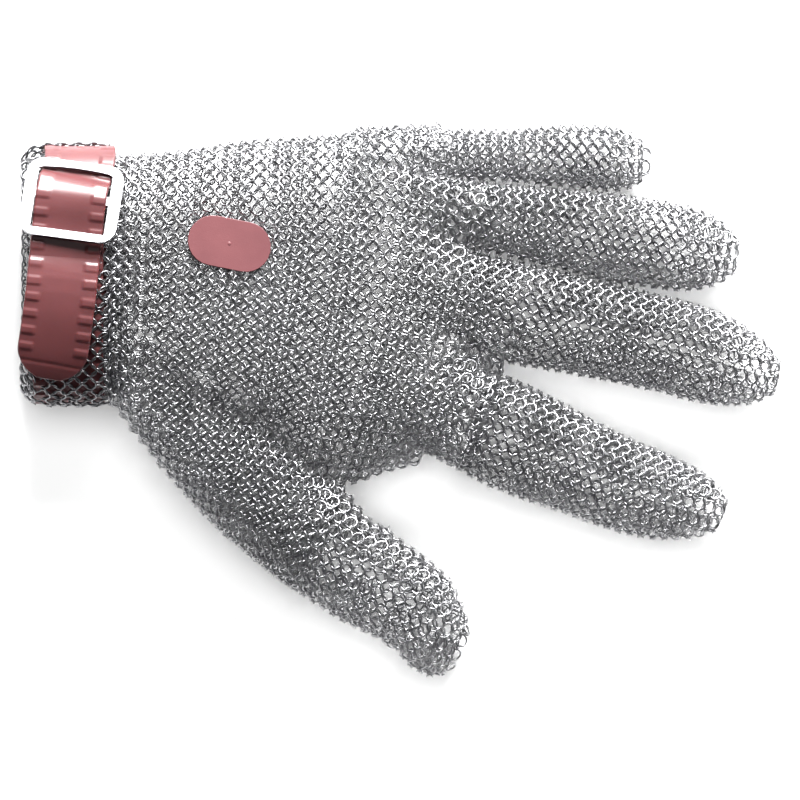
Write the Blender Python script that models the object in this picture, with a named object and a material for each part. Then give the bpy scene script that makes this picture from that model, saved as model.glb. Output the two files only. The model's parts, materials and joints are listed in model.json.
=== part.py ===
"""Chain mail butcher's glove for a left hand, lying palm down with its fingers along +X.

The ring mesh is modelled as thin-walled tubes that meet at the wearer's knuckles in barrel joints.
A strap runs in the cuff's folded tunnel, out at the little-finger side and through a slide buckle.
Lengths below are in millimetres and the scene is in metres, with +Z up and the palm on Z = 0.
"""

import math

import bmesh
import bpy
from mathutils import Matrix, Vector

MM = 0.001

# Walls and clearances
MAIL = 0.9  # one layer of ring mesh, taken as a solid wall
GAP = 0.35  # between neighbours that rest on each other
RIM_GAP = 0.4  # running gap round a knuckle barrel

# Fingers: knuckle in plan, heading in degrees from +X, the three lengths between knuckles and tip,
# then width and height at the first knuckle, the second, the third and just behind the tip
FINGERS = {
    "little": dict(
        knuckle=(20.0, 74.6), heading=-1.5, lengths=(17.5, 18.0, 19.7),
        widths=(15.0, 16.4, 16.6, 15.4), heights=(16.6, 17.2, 16.8, 15.4)),
    "ring": dict(
        knuckle=(30.0, 55.3), heading=-9.2, lengths=(24.0, 25.5, 23.6),
        widths=(18.4, 21.2, 21.6, 20.4), heights=(20.6, 21.6, 21.2, 19.4)),
    "middle": dict(
        knuckle=(34.0, 27.3), heading=-12.6, lengths=(27.0, 29.0, 26.8),
        widths=(30.0, 28.6, 27.6, 25.4), heights=(25.0, 24.6, 23.8, 21.4)),
    "index": dict(
        knuckle=(33.0, -9.7), heading=-22.5, lengths=(23.0, 24.5, 22.6),
        widths=(31.0, 28.6, 26.8, 24.0), heights=(25.0, 24.2, 23.2, 20.8)),
}
FINGER_BENDS = (60.0, 70.0, 42.0)  # full bend at the three knuckles, which sets the cut of each rim

THUMB = dict(
    knuckle=(-12.5, -49.2), headings=(-36.0, -38.0, -52.0), lengths=(21.7, 22.4),
    widths=(33.0, 28.0, 25.0), heights=(28.0, 26.0, 22.0), bends=(50.0, 60.0))
THUMB_ROOT_WIDTH = 36.0
THUMB_ROOT_HEIGHT = 29.0
THUMB_ROOT_CENTRE = -33.8  # where the root's slanted rim crosses the thumb's own centre line
THUMB_ROOT_SLANT = 0.82  # how far that rim runs forward for each millimetre towards the web

# Hand: sections across Y from the wrist to the knuckles
WRIST_X = -84.0  # crease between cuff and hand, and the cuff's hinge line
NECK_REACH = 4.0  # how far the hand's neck stands inside the cuff
NECK_FRONT = 5.6  # how far in front of the crease the full hand begins
NECK = (5.4, 71.4, 6.4, 32.4)  # low y, high y, low z, high z
HEEL = (-6.0, 80.0, 0.0, 38.6)
HEEL_SETBACK = 0.8  # the full hand's first loop stands this far in front of the neck's last one
KNUCKLES = (-34.0, 82.8, 0.0, 26.6)
# The hand's front edge: at each y across the knuckles, how far along X it reaches
FRONT_EDGE = (
    (-34.0, -62.0), (-22.5, -18.0), (-20.5, 14.0), (-9.7, 27.5), (9.0, 29.5),
    (27.3, 29.5), (42.0, 28.0), (55.3, 25.5), (66.0, 18.5), (74.6, 15.5), (82.8, 12.0))
HAND_ROWS = (0.0, 0.33, 0.66, 1.0)  # loops from heel to knuckles, as shares of the way
HAND_SWELL = 1.2  # how far the back of the hand rises over a straight line, halfway along
PALM_SETBACK = 8.2  # the palm side ends this much earlier, to leave room for the bent fingers

# Cuff: the inner mesh layer's outer face is the oval that the offsets below are measured from
CUFF_CENTRE_Y = 38.4
CUFF_HALF_WIDTH = 36.6
CUFF_HALF_HEIGHT = 16.3
CUFF_REAR = -115.0
CUFF_FRONT = -84.6
STRAP_WIDTH = 21.2
STRAP_THICK = 1.6
STRAP_LEVEL = 0.3
TUNNEL_LEVEL = STRAP_LEVEL + STRAP_THICK + 0.3
TUNNEL_START = 88.5  # degrees round the cuff, from the little-finger side up over the back
TUNNEL_END = 362.0
# Strap from its buckle end round the wrist and over again: degrees, offset of its underside, x
STRAP_ROUTE = (
    (61, 0.3, -99.2), (90, 0.3, -99.6), (180, 0.3, -99.6), (270, 0.3, -99.4), (330, 0.3, -98.0),
    (360, 0.3, -96.4), (385, 0.35, -96.0), (399, 0.35, -96.8), (405, 0.7, -97.3), (411, 3.2, -97.9),
    (415, 4.0, -98.2), (421, 4.1, -98.7), (427, 3.2, -99.2), (433, 2.2, -99.6), (445, 2.2, -100.5))
TAIL_ROUTE = (
    (447.5, 3.6, -100.7), (455, 3.55, -101.4), (470, 3.5, -102.9), (486, 3.5, -104.4), (498, 3.5, -105.6))
TAIL_ROUND = 9.0  # how far back the tail's rounded end begins
TAIL_END_SHARE = 0.26  # flat width left at the rounded end, as a share of the strap's width
BAND_STEP = 5.0  # degrees between the band's loops
TAIL_STEP = 2.5

# Slide buckle
BUCKLE_ACROSS = 29.4
BUCKLE_ALONG = 25.0
BUCKLE_THICK = 1.2
BUCKLE_SIDE = 3.6
BUCKLE_TOP = 3.4
BUCKLE_BOTTOM = 2.6
BUCKLE_BAR = 3.0
BUCKLE_BAR_SHIFT = 1.0  # the middle bar lies this far towards the little finger
BUCKLE_ARCH = 1.1  # rise of the upper window's arched edge
BUCKLE_CORNER = 5.0
BUCKLE_TOP_AT = (398.0, 2.75)  # degrees and offset of the underside, at the little-finger bar
BUCKLE_BOTTOM_AT = (437.0, 4.7)
BUCKLE_TURN = -8.0

# Size tag on the back of the hand
TAG_CENTRE = (-51.5, 47.3)
TAG_LENGTH = 25.0
TAG_WIDTH = 15.0
TAG_THICK = 1.8
TAG_TURN = -11.0
TAG_BACK_SCALE = 0.84
TAG_BACK_THICK = 1.2
TAG_BACK_DROP = 1.9  # room under the domed mesh for the flat inner plate
STUD_SPACING = 12.0
STUD_RADIUS = 1.2
STUD_HOLE_RADIUS = 1.7
STUD_POINTS = 10

SECTION_POINTS = 16
HAND_POINTS = 32
TIP_ROWS = (35.0, 62.0, 82.0)  # degrees round a rounded fingertip
CUT_MARGIN = 1.0  # how far a cutter runs past the faces it opens
CUFF_STEP = 11.25
ROUNDNESS = 2.4  # exponent of the finger sections: 2 is an ellipse, more is squarer
HAND_ROUNDNESS = 2.7
CUFF_ROUNDNESS = 2.3


def material(name, colour, roughness, metallic):
    made = bpy.data.materials.new(name)
    made.use_nodes = True
    shader = made.node_tree.nodes["Principled BSDF"]
    shader.inputs["Base Color"].default_value = (*colour, 1.0)
    shader.inputs["Roughness"].default_value = roughness
    shader.inputs["Metallic"].default_value = metallic
    return made


def lerp(a, b, t):
    return a + (b - a) * t


def along(knots, x):
    """Reads a table of (x, value, ...) rows at x, with straight runs between the rows."""
    for low, high in zip(knots, knots[1:]):
        if x <= high[0]:
            t = max(0.0, (x - low[0]) / (high[0] - low[0]))
            return [lerp(p, q, t) for p, q in zip(low[1:], high[1:])]
    return list(knots[-1][1:])


def section(half_width, low, high, points, roundness):
    """Superellipse as (y, z) points, with a flat side at the bottom, the top and both edges."""
    flat = math.cos(math.pi / points)
    out = []
    for k in range(points):
        angle = (k + 0.5) * 2 * math.pi / points
        c = math.cos(angle) / flat
        s = math.sin(angle) / flat
        y = half_width * math.copysign(abs(c) ** (2 / roundness), c)
        z = math.copysign(abs(s) ** (2 / roundness), s)
        out.append((y, lerp(low, high, (z + 1) / 2)))
    return out


def skin(mesh, loops, closed):
    """Faces between neighbouring loops of points. The last loop joins the first where closed is true."""
    rows = [[mesh.verts.new(Vector(p) * MM) for p in loop] for loop in loops]
    pairs = list(zip(rows, rows[1:])) + ([(rows[-1], rows[0])] if closed else [])
    for a, b in pairs:
        for k in range(len(a)):
            after = (k + 1) % len(a)
            mesh.faces.new((a[k], a[after], b[after], b[k]))
    return rows


def finish(mesh, name, look, frame=None, parent=None):
    """Turns the mesh into a named object with its faces pointing out."""
    bmesh.ops.recalc_face_normals(mesh, faces=mesh.faces)
    data = bpy.data.meshes.new(name)
    mesh.to_mesh(data)
    mesh.free()
    data.shade_smooth()
    data.set_sharp_from_angle(angle=math.radians(40))
    data.materials.append(look)
    made = bpy.data.objects.new(name, data)
    bpy.context.scene.collection.objects.link(made)
    made.parent = parent
    made.matrix_basis = frame or Matrix.Identity(4)
    return made


def barrel_rim(z, radius):
    """Rear rim of the piece that turns: a round barrel of this radius about its knuckle, at x = 0."""
    return -math.sqrt(max(radius * radius - z * z, 0.0))


def socket_rim(z, radius, bend, gap):
    """Front rim of the piece before it: round above, and below cut back behind the bent barrel."""
    wide = radius + gap
    back = math.sqrt(max(wide * wide - z * z, 0.0))
    if z < 0:
        angle = math.radians(bend)
        back = max(back, (radius + z * math.cos(angle)) / math.sin(angle) + gap)
    return -back


def digit_loops(length, widths, heights, rise, rims, inset):
    """Rear and front loop of one digit tube in its own frame, whose origin is its knuckle's centre."""
    loops = []
    for end, x in enumerate((0.0, length)):
        low = -heights[0] / 2 + inset
        high = low + heights[end] - 2 * inset
        ring = section(widths[end] / 2 - inset, low, high, SECTION_POINTS, ROUNDNESS)
        loops.append([(x + rims[end](y, z - rise[end]), y, z) for y, z in ring])
    return loops


def tube_segment(name, look, length, widths, heights, bend, frame, parent, rear=None, turn=0.0):
    """Open tube between two knuckles. Its bottom stays on the table, so its front centre is lower or higher.

    Where the next tube turns sideways, the front rim follows that tube's knuckle axis."""
    rise = (0.0, (heights[1] - heights[0]) / 2)
    side = math.tan(math.radians(turn))
    stretch = 1 / math.cos(math.radians(turn))
    rims = (
        rear or (lambda y, z: barrel_rim(z, heights[0] / 2)),
        lambda y, z: socket_rim(z, heights[1] / 2, bend, RIM_GAP) * stretch - side * y,
    )
    outer = digit_loops(length, widths, heights, rise, rims, 0.0)
    inner = digit_loops(length, widths, heights, rise, rims, MAIL)
    mesh = bmesh.new()
    skin(mesh, [outer[0], outer[1], inner[1], inner[0]], True)
    return finish(mesh, name, look, frame, parent)


def tip_loops(length, widths, heights, inset):
    """Loops of a closed finger end: a barrel rim, then sections that shrink over the rounded tip."""
    low = -heights[0] / 2 + inset
    cap = widths[1] / 2
    loops = []
    for x, scale in [(0.0, None), (length - cap, 1.0)] + [
        (length - cap + (cap - inset) * math.sin(a), math.cos(a))
        for a in (math.radians(d) for d in TIP_ROWS)
    ]:
        end = 0 if scale is None else 1
        size = 1.0 if scale is None else scale
        half = (widths[end] / 2 - inset) * size
        high = low + heights[end] - 2 * inset
        middle = (low + high) / 2
        ring = section(half, lerp(middle, low, size), lerp(middle, high, size), SECTION_POINTS, ROUNDNESS)
        rim = barrel_rim if scale is None else (lambda z, radius: 0.0)
        loops.append([(x + rim(z, heights[0] / 2), y, z) for y, z in ring])
    return loops


def tip_segment(name, look, length, widths, heights, frame, parent):
    outer = tip_loops(length, widths, heights, 0.0)
    inner = tip_loops(length, widths, heights, MAIL)
    mesh = bmesh.new()
    rows = skin(mesh, outer[::-1] + inner, False)
    mesh.faces.new(rows[0])
    mesh.faces.new(rows[-1])
    return finish(mesh, name, look, frame, parent)


def knuckle_frame(x, y, z, heading):
    return Matrix.Translation(Vector((x, y, z)) * MM) @ Matrix.Rotation(math.radians(heading), 4, "Z")


def finger(name, look, spec):
    """Three tubes in a chain. Each one's origin is its own knuckle, and its parent is the tube before it."""
    widths, heights, lengths = spec["widths"], spec["heights"], spec["lengths"]
    frame = knuckle_frame(*spec["knuckle"], heights[0] / 2, spec["heading"])
    parent = None
    for k, part in enumerate(("proximal", "middle")):
        parent = tube_segment(
            f"{name}_finger_{part}_mesh", look, lengths[k], widths[k:k + 2], heights[k:k + 2],
            FINGER_BENDS[k + 1], frame, parent)
        frame = knuckle_frame(lengths[k], 0.0, (heights[k + 1] - heights[k]) / 2, 0.0)
    tip_segment(
        f"{name}_finger_tip_mesh", look, lengths[2], widths[2:], heights[2:], frame, parent)


def thumb(look):
    """Root tube with a slanted rear rim along the hand's opening, then two jointed tubes."""
    widths, heights, headings = THUMB["widths"], THUMB["heights"], THUMB["headings"]
    frame = knuckle_frame(*THUMB["knuckle"], heights[0] / 2, headings[0])
    tube_segment(
        "thumb_root_mesh", look, 0.0, (THUMB_ROOT_WIDTH, widths[0]), (THUMB_ROOT_HEIGHT, heights[0]),
        THUMB["bends"][0],
        frame @ Matrix.Translation((0, 0, (THUMB_ROOT_HEIGHT - heights[0]) / 2 * MM)), None,
        rear=lambda y, z: THUMB_ROOT_CENTRE + THUMB_ROOT_SLANT * y, turn=headings[1] - headings[0])
    frame = frame @ Matrix.Rotation(math.radians(headings[1] - headings[0]), 4, "Z")
    turn = headings[2] - headings[1]
    first = tube_segment(
        "thumb_proximal_mesh", look, THUMB["lengths"][0], widths[:2], heights[:2],
        THUMB["bends"][1], frame, None, turn=turn)
    frame = knuckle_frame(THUMB["lengths"][0], 0.0, (heights[1] - heights[0]) / 2, turn)
    tip_segment("thumb_tip_mesh", look, THUMB["lengths"][1], widths[1:], heights[1:], frame, first)


def hand_section(size, inset, upper):
    """Half of a section across the hand, from one side seam over the top or the bottom to the other."""
    low_y, high_y, low_z, high_z = size
    middle = (low_y + high_y) / 2
    ring = section((high_y - low_y) / 2 - inset, low_z + inset, high_z - inset, HAND_POINTS, HAND_ROUNDNESS)
    half = ring[:HAND_POINTS // 2] if upper else ring[HAND_POINTS // 2:]
    seam_z = (low_z + high_z) / 2 + (GAP / 2 if upper else -GAP / 2)
    half = [(half[0][0], seam_z)] + half + [(half[-1][0], seam_z)]
    return [(middle + y, z) for y, z in half]


def hand_stations(inset, upper):
    """The hand's loops from the neck in the cuff to the slanted front edge."""
    front = hand_section(KNUCKLES, inset, upper)
    edge = [along(FRONT_EDGE, y)[0] - (0.0 if upper else PALM_SETBACK) for y, z in front]
    heel = hand_section(HEEL, inset, upper)
    heel_x = WRIST_X + NECK_FRONT + HEEL_SETBACK
    loops = []
    for x in (WRIST_X - NECK_REACH, WRIST_X + NECK_FRONT):
        loops.append([(x, y, z) for y, z in hand_section(NECK, inset, upper)])
    for t in HAND_ROWS:
        swell = 4 * t * (1 - t) * HAND_SWELL / HEEL[3] if upper else 0.0
        loops.append([
            (lerp(heel_x, ex, t), lerp(hy, fy, t), lerp(hz, fz, t) + swell * hz)
            for (hy, hz), (fy, fz), ex in zip(heel, front, edge)
        ])
    return loops


def hand_half(name, look, upper):
    outer = hand_stations(0.0, upper)
    inner = hand_stations(MAIL, upper)
    mesh = bmesh.new()
    loops = [a + b[::-1] for a, b in zip(outer, inner)]
    rows = skin(mesh, loops, False)
    half = len(outer[0])
    for row in (rows[0], rows[-1]):
        for k in range(half - 1):
            mesh.faces.new((row[k], row[k + 1], row[2 * half - 2 - k], row[2 * half - 1 - k]))
    return finish(mesh, name, look)


def cuff_point(degrees, offset, x):
    """Point on the cuff's oval, moved out by the offset. 0 degrees faces +Y and 90 faces up."""
    a = math.radians(degrees)
    c, s = math.cos(a), math.sin(a)
    power = 2 / CUFF_ROUNDNESS
    centre_z = CUFF_HALF_HEIGHT + TUNNEL_LEVEL + MAIL
    y = (CUFF_HALF_WIDTH + offset) * math.copysign(abs(c) ** power, c)
    z = (CUFF_HALF_HEIGHT + offset) * math.copysign(abs(s) ** power, s)
    return Vector((x, CUFF_CENTRE_Y + y, centre_z + z))


def cuff_band(name, look, level, start, stop, rear, front):
    """One layer of mesh round the cuff: a full ring, or an arc from start to stop in degrees."""
    ring = stop - start >= 360
    steps = round((stop - start) / CUFF_STEP)
    angles = [lerp(start, stop, k / steps) for k in range(steps if ring else steps + 1)]
    corners = ((level, rear), (level, front), (level + MAIL, front), (level + MAIL, rear))
    loops = [[cuff_point(a, offset, x) for offset, x in corners] for a in angles]
    mesh = bmesh.new()
    rows = skin(mesh, loops, ring)
    if not ring:
        mesh.faces.new(rows[0])
        mesh.faces.new(rows[-1])
    return finish(mesh, name, look)


def strap_frames(route, step):
    """Centre, width direction and outward normal of the strap's underside at even steps of a route."""
    first, last = route[0][0], route[-1][0]
    count = round((last - first) / step)
    degrees = [lerp(first, last, k / count) for k in range(count + 1)]
    centres = [cuff_point(d, *along(route, d)) for d in degrees]
    frames = []
    for k, d in enumerate(degrees):
        ahead = centres[min(k + 1, count)] - centres[max(k - 1, 0)]
        spread = cuff_point(d + 1, 0, 0) - cuff_point(d - 1, 0, 0)
        outward = Vector((0, spread.z, -spread.y)).normalized()
        if outward.dot(cuff_point(d, 5, 0) - cuff_point(d, 0, 0)) < 0:
            outward.negate()
        across = ahead.cross(outward).normalized()
        normal = across.cross(ahead).normalized()
        frames.append((centres[k], across, normal))
    return frames


def strap_piece(name, look, route, step, round_end, origin=None):
    """Flat strap along a route. A round end narrows the last stretch to a half circle."""
    frames = strap_frames(route, step)
    total = [0.0]
    for a, b in zip(frames, frames[1:]):
        total.append(total[-1] + (b[0] - a[0]).length)
    loops = []
    for (centre, across, normal), run in zip(frames, total):
        left = total[-1] - run
        half = STRAP_WIDTH / 2
        if round_end and left < TAIL_ROUND:
            bow = 1 - left / TAIL_ROUND
            half *= math.sqrt(1 - (1 - TAIL_END_SHARE ** 2) * bow * bow)
        side = across * half
        top = normal * STRAP_THICK
        loops.append([centre - side, centre + side, centre + side + top, centre - side + top])
    if origin:
        loops = [[p - origin for p in loop] for loop in loops]
    mesh = bmesh.new()
    rows = skin(mesh, loops, False)
    mesh.faces.new(rows[0])
    mesh.faces.new(rows[-1])
    return finish(mesh, name, look, Matrix.Translation(origin * MM) if origin else None)


def plate(name, look, outline, low, high, frame):
    """Flat plate with this outline, between two heights in its own frame."""
    mesh = bmesh.new()
    rows = skin(mesh, [[(x, y, low) for x, y in outline], [(x, y, high) for x, y in outline]], False)
    mesh.faces.new(rows[0])
    mesh.faces.new(rows[1])
    return finish(mesh, name, look, frame)


def rounded_outline(width, height, radius, steps):
    """Rectangle with round corners, anticlockwise. A radius of half the height makes a stadium."""
    out = []
    for quarter, (sx, sy) in enumerate(((1, 1), (-1, 1), (-1, -1), (1, -1))):
        for k in range(steps + 1):
            a = math.radians(90 * (quarter + k / steps))
            out.append((
                sx * (width / 2 - radius) + radius * math.cos(a),
                sy * (height / 2 - radius) + radius * math.sin(a)))
    return out


def cut(target, cutter):
    cutter.hide_render = True
    cutter.display_type = "WIRE"
    modifier = target.modifiers.new(cutter.name, "BOOLEAN")
    modifier.operation = "DIFFERENCE"
    modifier.solver = "EXACT"
    modifier.object = cutter


def buckle(look, guide):
    """Three-bar slide: a flat frame with a bar across the middle and a raised arch in its upper window."""
    top = cuff_point(*BUCKLE_TOP_AT, 0)
    bottom = cuff_point(*BUCKLE_BOTTOM_AT, 0)
    middle = (BUCKLE_TOP_AT[0] + BUCKLE_BOTTOM_AT[0]) / 2
    up = (top - bottom).normalized()
    out = Vector((1, 0, 0)).cross(up).normalized()
    centre = (top + bottom) / 2 + Vector((along(STRAP_ROUTE, middle)[1], 0, 0))
    frame = Matrix((Vector((1, 0, 0)), up, out)).transposed().to_4x4()
    frame = Matrix.Translation(centre * MM) @ frame @ Matrix.Rotation(math.radians(BUCKLE_TURN), 4, "Z")
    made = plate(
        "slide_buckle", look, rounded_outline(BUCKLE_ACROSS, BUCKLE_ALONG, BUCKLE_CORNER, 4),
        0.0, BUCKLE_THICK, frame)
    window = BUCKLE_ACROSS - 2 * BUCKLE_SIDE
    upper = BUCKLE_ALONG / 2 - BUCKLE_TOP
    lower = -BUCKLE_ALONG / 2 + BUCKLE_BOTTOM
    arch = [
        (window / 2 * math.cos(a), upper + BUCKLE_ARCH * math.sin(a))
        for a in (math.radians(d) for d in range(0, 181, 30))
    ]
    over = BUCKLE_BAR_SHIFT + BUCKLE_BAR / 2
    under = BUCKLE_BAR_SHIFT - BUCKLE_BAR / 2
    above = [(-window / 2, over), (window / 2, over)] + arch
    below = [(-window / 2, lower), (window / 2, lower), (window / 2, under), (-window / 2, under)]
    for label, outline in (("upper", above), ("lower", below)):
        tool = plate(
            f"buckle_{label}_window", guide, outline, -CUT_MARGIN, BUCKLE_THICK + CUT_MARGIN, frame)
        cut(made, tool)


def size_tag(look, guide, back_of_hand):
    """Two plastic plates that clamp the mesh: the outer one carries two studs through it."""
    x, y = TAG_CENTRE
    bpy.context.view_layer.update()
    spot, normal = back_of_hand.ray_cast(Vector((x, y, 2 * HEEL[3])) * MM, Vector((0, 0, -1)))[1:3]
    turned = normal.to_track_quat("Z", "Y").to_matrix().to_4x4()
    heading = (turned.inverted() @ Vector((1, 0, 0))).xy
    turn = math.atan2(heading.y, heading.x) + math.radians(TAG_TURN)
    frame = Matrix.Translation(spot) @ turned @ Matrix.Rotation(turn, 4, "Z")
    outline = rounded_outline(TAG_LENGTH, TAG_WIDTH, TAG_WIDTH / 2 - 0.01, 6)
    front = plate("size_tag_front", look, outline, GAP, GAP + TAG_THICK, frame)
    drop = -MAIL - TAG_BACK_DROP
    small = [(TAG_BACK_SCALE * px, TAG_BACK_SCALE * py) for px, py in outline]
    plate("size_tag_back", look, small, drop - TAG_BACK_THICK, drop, frame)
    for side in (-1, 1):
        for radius, low, high, target, operation in (
            (STUD_RADIUS, drop + GAP, GAP + TAG_THICK / 2, front, "UNION"),
            (STUD_HOLE_RADIUS, drop, GAP, back_of_hand, "DIFFERENCE"),
        ):
            ring = [
                (side * STUD_SPACING / 2 + radius * math.cos(a), radius * math.sin(a))
                for a in (2 * math.pi * k / STUD_POINTS for k in range(STUD_POINTS))
            ]
            tool = plate(f"stud_{operation.lower()}_{side}", guide, ring, low, high, frame)
            cut(target, tool)
            target.modifiers[-1].operation = operation


for leftover in list(bpy.data.objects):
    bpy.data.objects.remove(leftover)

mail_look = material("steel_mail", (0.62, 0.62, 0.63), 0.38, 1.0)
strap_look = material("red_strap", (0.62, 0.13, 0.16), 0.35, 0.0)
tag_look = material("red_tag", (0.60, 0.16, 0.19), 0.45, 0.0)
buckle_look = material("polished_steel", (0.80, 0.81, 0.82), 0.18, 1.0)
guide_look = material("guide", (0.2, 0.2, 0.8), 0.5, 0.0)

back = hand_half("back_of_hand_mesh", mail_look, True)
hand_half("palm_mesh", mail_look, False)
thumb(mail_look)
for digit, shape in FINGERS.items():
    finger(digit, mail_look, shape)

cuff_band("cuff_inner_mesh", mail_look, -MAIL, 0.0, 360.0, CUFF_REAR + 0.5, CUFF_FRONT)
cuff_band("cuff_tunnel_mesh", mail_look, TUNNEL_LEVEL, TUNNEL_START, TUNNEL_END, CUFF_REAR, CUFF_FRONT)
strap_piece("strap_band", strap_look, STRAP_ROUTE, BAND_STEP, False)
strap_piece("strap_tail", strap_look, TAIL_ROUTE, TAIL_STEP, True, cuff_point(*TAIL_ROUTE[0]))
buckle(buckle_look, guide_look)
size_tag(tag_look, guide_look, back)
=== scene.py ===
"""Looks for the chain mail glove: every ring of the mail, the ribbed strap, the buckle and the size tag.

Lengths are in millimetres until a mesh is made, in the frame of the CAD model: +X to the fingertips,
+Y to the little finger, +Z up, with the palm on Z = 0.
"""

import json
import math

import bmesh
import bpy
import numpy as np
from mathutils import Matrix, Vector

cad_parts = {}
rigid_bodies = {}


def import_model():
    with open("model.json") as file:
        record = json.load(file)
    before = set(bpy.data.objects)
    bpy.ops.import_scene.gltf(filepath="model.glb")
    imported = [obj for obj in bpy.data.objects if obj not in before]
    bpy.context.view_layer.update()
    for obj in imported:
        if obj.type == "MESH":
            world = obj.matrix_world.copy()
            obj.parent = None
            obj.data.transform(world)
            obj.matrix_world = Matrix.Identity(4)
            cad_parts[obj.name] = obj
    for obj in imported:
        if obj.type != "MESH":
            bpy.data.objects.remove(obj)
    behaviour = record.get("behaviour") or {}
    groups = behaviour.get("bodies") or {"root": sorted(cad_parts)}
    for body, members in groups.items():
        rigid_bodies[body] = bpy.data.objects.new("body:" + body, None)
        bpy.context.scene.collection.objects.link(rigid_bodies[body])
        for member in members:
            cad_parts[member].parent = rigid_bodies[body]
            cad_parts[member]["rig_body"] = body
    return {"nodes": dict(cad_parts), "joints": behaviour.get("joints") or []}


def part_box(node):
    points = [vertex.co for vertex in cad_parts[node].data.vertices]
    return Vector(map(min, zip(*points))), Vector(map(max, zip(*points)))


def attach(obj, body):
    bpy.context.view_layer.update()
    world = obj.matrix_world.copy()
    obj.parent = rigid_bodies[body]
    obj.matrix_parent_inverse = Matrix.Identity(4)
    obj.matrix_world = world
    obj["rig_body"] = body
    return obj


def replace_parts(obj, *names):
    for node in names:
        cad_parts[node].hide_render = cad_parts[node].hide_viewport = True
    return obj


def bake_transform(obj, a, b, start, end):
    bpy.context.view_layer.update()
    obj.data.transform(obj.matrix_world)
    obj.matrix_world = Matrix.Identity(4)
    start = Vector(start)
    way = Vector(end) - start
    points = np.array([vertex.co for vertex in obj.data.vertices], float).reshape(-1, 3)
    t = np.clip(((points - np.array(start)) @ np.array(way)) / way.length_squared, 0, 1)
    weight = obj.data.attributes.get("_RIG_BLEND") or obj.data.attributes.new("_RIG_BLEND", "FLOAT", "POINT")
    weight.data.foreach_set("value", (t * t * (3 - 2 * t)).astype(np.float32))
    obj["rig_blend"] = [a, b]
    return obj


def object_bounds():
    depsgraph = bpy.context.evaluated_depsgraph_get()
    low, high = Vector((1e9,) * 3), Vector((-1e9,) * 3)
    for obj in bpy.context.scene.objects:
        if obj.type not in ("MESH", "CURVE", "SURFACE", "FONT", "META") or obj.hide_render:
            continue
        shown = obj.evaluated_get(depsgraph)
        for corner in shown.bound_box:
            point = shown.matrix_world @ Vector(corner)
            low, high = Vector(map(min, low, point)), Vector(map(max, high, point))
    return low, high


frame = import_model()
cad_low, cad_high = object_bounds()

MM = 0.001
JOINTS = {joint["name"]: joint for joint in frame["joints"]}
DIGITS = ("little", "ring", "middle", "index", "thumb")

# Rings: welded wire, laid in the four-in-one pattern
RING_RADIUS = 1.85
WIRE = 0.56
LEAN_SHARE = 0.8  # of the full lean, as woven mail settles flatter where it is pulled over a shape
RING_SIDES = 14
WIRE_SIDES = 6
TILT_JITTER = math.radians(2.5)
TWIST_JITTER = math.radians(2.5)
PLACE_JITTER = 0.05
SEED = 7

# The surface that the ring centres lie on
SKIN = 1.1  # from that surface to the outline of the mail
FLOOR_GAP = 1.75  # height of the lowest ring centres
DIGIT_POWER = 2.35
BODY_POWER = 2.6
DIGIT_BLEND = 2.4
THUMB_BLEND = 4.0

# Digits: distance from the knuckle, sideways shift, half width and top of the outline
DIGIT_SHAPES = {
    "little": dict(
        rows=((-34, -0.5, 7.8, 25.0), (-14, 0.0, 7.9, 21.5), (0, 0.1, 7.9, 18.6), (12, 0.2, 8.1, 17.8),
              (30, 0.6, 9.6, 18.2), (42, 0.0, 10.0, 17.6), (56, -0.9, 10.0, 16.5)),
        cap=(42.0, 55.4, 2.0), pitch=4.35, step=1.66),
    "ring": dict(
        rows=((-40, 0.0, 10.2, 28.5), (-18, 0.0, 10.4, 25.0), (0, -0.1, 10.7, 22.4), (18, 0.0, 12.2, 21.9),
              (36, -0.4, 13.5, 21.6), (48, -0.1, 13.4, 21.0), (74, 0.0, 13.3, 19.5)),
        cap=(51.0, 73.4, 2.0), pitch=4.6, step=1.68),
    "middle": dict(
        rows=((-44, 0.0, 14.2, 31.5), (-20, -0.2, 15.0, 28.4), (0, -0.3, 15.6, 25.6), (24, 0.3, 15.0, 24.6),
              (48, 0.2, 14.5, 23.4), (66, -1.0, 14.5, 22.0), (83, -2.3, 14.5, 20.0)),
        cap=(54.0, 83.3, 2.0), pitch=4.7, step=1.7),
    "index": dict(
        rows=((-42, -1.0, 13.0, 31.0), (-20, 0.4, 15.8, 27.8), (0, -0.6, 16.6, 25.2), (12, -0.9, 15.9, 24.6),
              (24, -1.2, 14.7, 24.0), (36, -1.25, 14.2, 23.2), (48, -0.4, 13.8, 22.0), (66, 1.7, 13.8, 20.0)),
        cap=(40.0, 69.8, 2.0), pitch=4.6, step=1.7),
    "thumb": dict(
        rows=((-90, 3.6, 10.5, 33.0), (-80, 3.4, 13.6, 34.0), (-67, 2.6, 16.0, 33.0), (-53, 0.8, 17.0, 31.5),
              (-39, -0.8, 17.2, 30.0), (-18, -1.8, 16.7, 28.6), (-6, -2.0, 15.6, 27.6), (6, -1.0, 15.6, 26.6),
              (18, 0.4, 14.3, 25.2), (24, 0.2, 13.6, 24.0), (30, -1.9, 13.5, 23.0), (41, -4.6, 13.5, 20.0)),
        cap=(22.0, 41.2, 2.5), pitch=4.75, step=1.74),
}
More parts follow.
